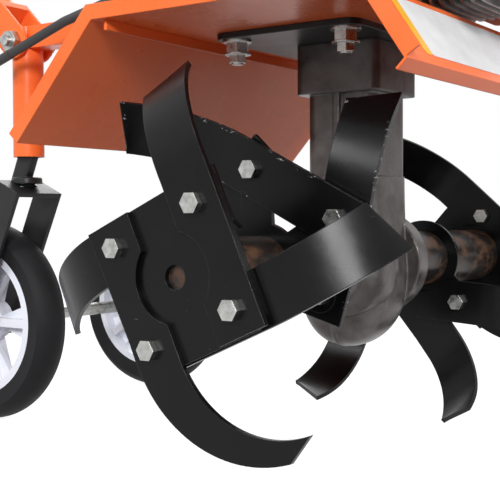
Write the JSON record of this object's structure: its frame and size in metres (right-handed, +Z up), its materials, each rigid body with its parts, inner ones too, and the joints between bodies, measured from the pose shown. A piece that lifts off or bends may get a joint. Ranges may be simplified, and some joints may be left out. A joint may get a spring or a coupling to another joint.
{
  "type": "mini tiller",
  "caption": "Walk-behind mini tiller with a tined rotor on a central gearbox column, folded deck, small engine, wheels and handlebar.",
  "frame": {"origin": "middle of the footprint box on the floor", "axes": "+X forward, +Y to the machine's left, +Z up"},
  "size_m": [1.13, 0.5355, 0.859],
  "materials": {
    "black_paint": "satin",
    "black_plastic": "matt",
    "casting": "matt",
    "engine_alloy": "matt",
    "muffler_steel": "matt",
    "orange_paint": "gloss",
    "pale_plastic": "satin",
    "shaft_black": "gloss",
    "shroud_paint": "satin",
    "tank_plastic": "satin",
    "tine_black": "satin",
    "tyre": "matt",
    "zinc": "satin"
  },
  "bodies": {
    "frame": {"air_cleaner": "black_plastic", "blower_shroud": "shroud_paint", "carburettor": "engine_alloy", "control_cable": "black_plastic", "crankcase": "engine_alloy", "cross_tube": "orange_paint", "cylinder": "engine_alloy", "cylinder_head": "engine_alloy", "deck": "orange_paint", "deck_bolts": "zinc", "deck_stiffener": "orange_paint", "engine_flange": "black_paint", "fuel_cap": "black_plastic", "fuel_tank": "tank_plastic", "gearbox_case_left": "casting", "gearbox_case_right": "casting", "gearbox_column": "casting", "hitch_plate": "orange_paint", "leg_arms": "orange_paint", "leg_tubes": "orange_paint", "muffler": "muffler_steel", "muffler_guard": "muffler_steel", "pivot_bolts": "zinc", "recoil_cover": "shroud_paint", "spark_plug": "zinc", "starter_grip": "black_plastic", "tank_stay": "black_paint", "wheel_axle": "zinc", "wheel_forks": "black_paint", "wheel_struts": "black_paint"},
    "rotor": {"hub_tube_left": "shaft_black", "hub_tube_right": "shaft_black", "inner_plate_left": "tine_black", "inner_plate_right": "tine_black", "inner_tines_left": "tine_black", "inner_tines_right": "tine_black", "outer_plate_left": "tine_black", "outer_plate_right": "tine_black", "outer_tines_left": "tine_black", "outer_tines_right": "tine_black", "rotor_shaft": "shaft_black", "tine_bolts_left": "zinc", "tine_bolts_right": "zinc"},
    "wheel_right": {"tyre_right": "tyre", "wheel_hub_right": "pale_plastic"},
    "wheel_left": {"tyre_left": "tyre", "wheel_hub_left": "pale_plastic"},
    "handlebar": {"clutch_lever": "black_plastic", "handle_clevises": "orange_paint", "handle_crossbar": "orange_paint", "handle_grips": "black_plastic", "handle_tubes": "orange_paint", "throttle_box": "black_plastic", "upper_cable": "black_plastic"}
  },
  "joints": [
    {"name": "rotor_turn", "type": "hinge", "parent": "frame", "child": "rotor", "pos_m": [0.381, 0, 0.15], "axis": [0, 1, 0], "continuous": true},
    {"name": "wheel_right_turn", "type": "hinge", "parent": "frame", "child": "wheel_right", "pos_m": [0.044, -0.121, 0.093], "axis": [0, 1, 0], "continuous": true},
    {"name": "wheel_left_turn", "type": "hinge", "parent": "frame", "child": "wheel_left", "pos_m": [0.044, 0.121, 0.093], "axis": [0, 1, 0], "continuous": true},
    {"name": "handlebar_tilt", "type": "hinge", "parent": "frame", "child": "handlebar", "pos_m": [0.101, 0, 0.348], "axis": [0, 1, 0], "range_deg": [-15, 75]}
  ]
}
